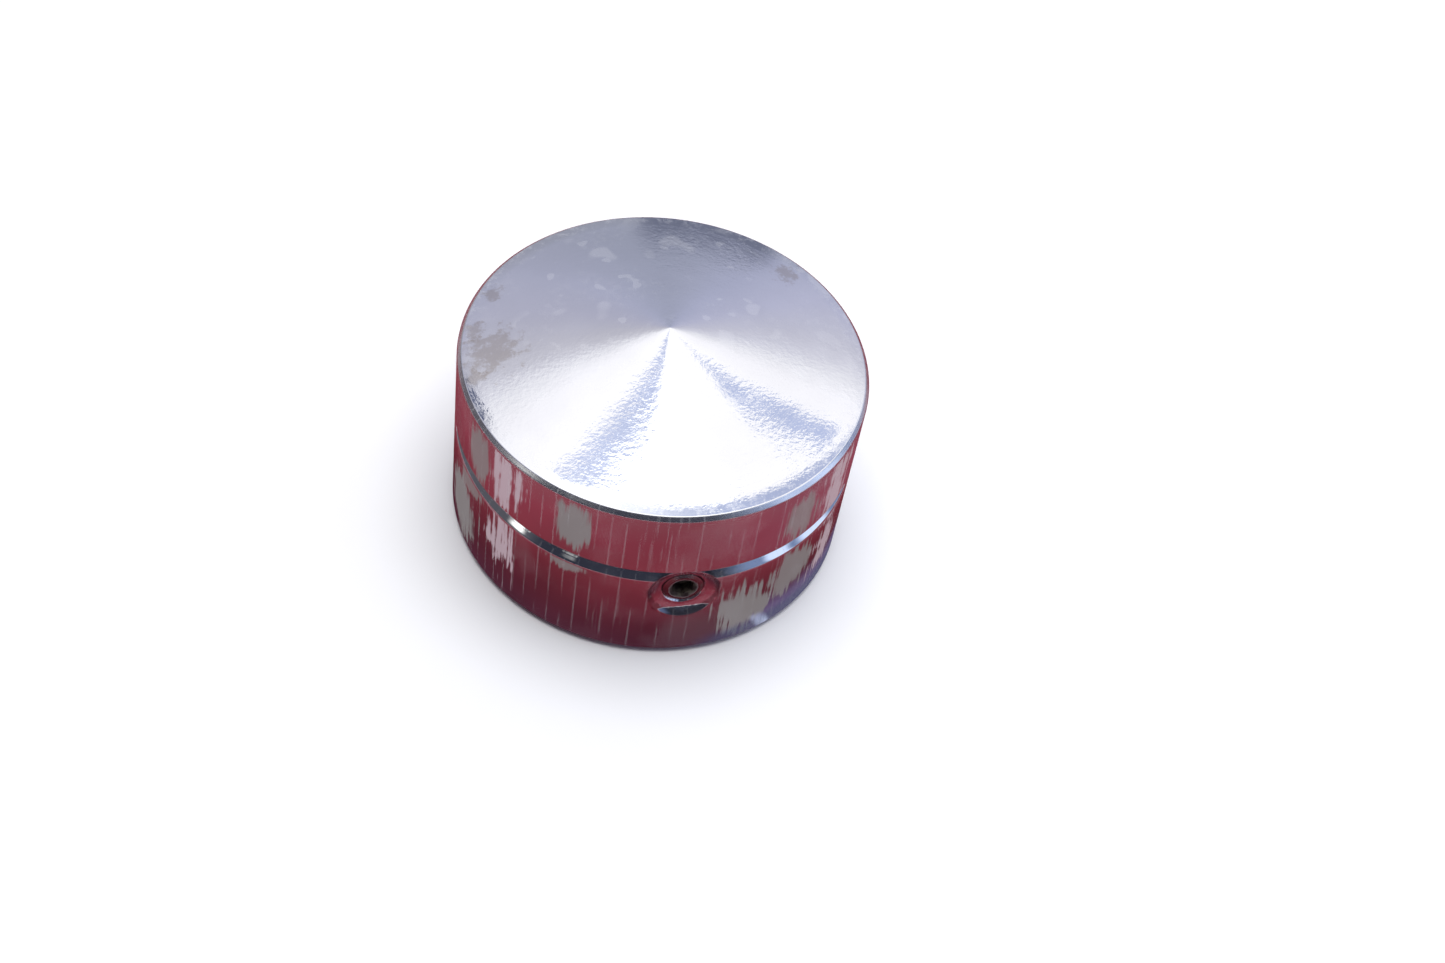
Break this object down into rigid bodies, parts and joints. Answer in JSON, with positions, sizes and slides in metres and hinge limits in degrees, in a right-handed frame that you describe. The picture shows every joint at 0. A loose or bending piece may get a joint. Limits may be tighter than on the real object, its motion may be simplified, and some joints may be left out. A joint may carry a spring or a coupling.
{
  "type": "bobbin case",
  "caption": "Round closed bobbin case with a shallow conical cap, a parting groove, a dished lock screw, and a bobbin, tension leaf and anti-spin spring.",
  "frame": {"origin": "centre of the face the case stands on", "axes": "+Z along the case's axis, out of the conical cap; -Y towards the lock screw"},
  "size_m": [0.04, 0.04, 0.0251],
  "materials": {
    "case_cup": "polished nickel-chrome over turned steel",
    "case_cap": "polished nickel-chrome over turned steel, softer on the cone",
    "lock_screw": "blackened alloy steel",
    "lock_screw_tip": "turned brass",
    "centre_post": "ground steel",
    "stud_sleeve": "sintered bronze, oily",
    "thrust_washer": "hardened spring steel",
    "bobbin_bush": "turned bronze",
    "bobbin_hub": "turned aluminium",
    "bobbin_flange_lower": "pressed aluminium",
    "bobbin_flange_upper": "pressed aluminium",
    "bobbin_thread": "bonded thread, wound in layers",
    "anti_spin_spring": "spring steel strip",
    "spring_rivet": "steel, domed head",
    "tension_leaf": "polished spring steel",
    "leaf_screw": "slotted steel screw",
    "tension_washer": "brass",
    "tension_screw": "slotted steel screw",
    "thread_eyelet": "hard white ceramic",
    "register_dowel_left": "ground steel",
    "register_dowel_right": "ground steel"
  },
  "bodies": {
    "cup": {"case_cup": "case_cup", "centre_post": "centre_post", "stud_sleeve": "stud_sleeve", "thrust_washer": "thrust_washer", "thread_eyelet": "thread_eyelet", "leaf_screw": "leaf_screw", "register_dowel_left": "register_dowel_left", "register_dowel_right": "register_dowel_right"},
    "cap": {"case_cap": "case_cap", "anti_spin_spring": "anti_spin_spring", "spring_rivet": "spring_rivet"},
    "bush": {"bobbin_bush": "bobbin_bush"},
    "bobbin": {"bobbin_hub": "bobbin_hub", "bobbin_flange_lower": "bobbin_flange_lower", "bobbin_flange_upper": "bobbin_flange_upper", "bobbin_thread": "bobbin_thread"},
    "lock_tip": {"lock_screw_tip": "lock_screw_tip"},
    "lock_screw": {"lock_screw": "lock_screw"},
    "leaf": {"tension_leaf": "tension_leaf"},
    "tension_washer": {"tension_washer": "tension_washer"},
    "tension_screw": {"tension_screw": "tension_screw"}
  },
  "joints": [
    {"name": "cap_lift", "type": "slide", "parent": "cup", "child": "cap", "axis": [0, 0, 1], "range_m": [0, 0.032]},
    {"name": "bobbin_lift", "type": "slide", "parent": "cup", "child": "bush", "axis": [0, 0, 1], "range_m": [0, 0.016]},
    {"name": "bobbin_spin", "type": "hinge", "parent": "bush", "child": "bobbin", "pos_m": [0, 0, 0.0107], "axis": [0, 0, 1], "continuous": true},
    {"name": "lock_screw_turn", "type": "hinge", "parent": "lock_tip", "child": "lock_screw", "pos_m": [0, -0.0175, 0.0096], "axis": [0, -1, 0], "range_deg": [0, 450.1]},
    {"name": "lock_screw_feed", "type": "slide", "parent": "cup", "child": "lock_tip", "axis": [0, -1, 0], "range_m": [0, 0.000875]},
    {"name": "tension_screw_turn", "type": "hinge", "parent": "tension_washer", "child": "tension_screw", "pos_m": [0.00453, 0.0169, 0.006], "axis": [0.2588, 0.9659, 0], "range_deg": [0, 360.1]},
    {"name": "tension_screw_feed", "type": "slide", "parent": "cup", "child": "tension_washer", "axis": [0.2588, 0.9659, 0], "range_m": [0, 0.00045]},
    {"name": "leaf_flex", "type": "hinge", "parent": "cup", "child": "leaf", "pos_m": [-0.00861, 0.0162, 0.006], "axis": [0, 0, 1], "range_deg": [0, 1.61]}
  ],
  "couplings": [
    {"joint": "bobbin_lift", "follows": "cap_lift", "ratio": 0.5},
    {"joint": "lock_screw_turn", "follows": "lock_screw_feed", "rad_per_m": 8976},
    {"joint": "tension_screw_turn", "follows": "tension_screw_feed", "rad_per_m": 13963},
    {"joint": "leaf_flex", "follows": "tension_screw_feed", "rad_per_m": 62.056}
  ]
}
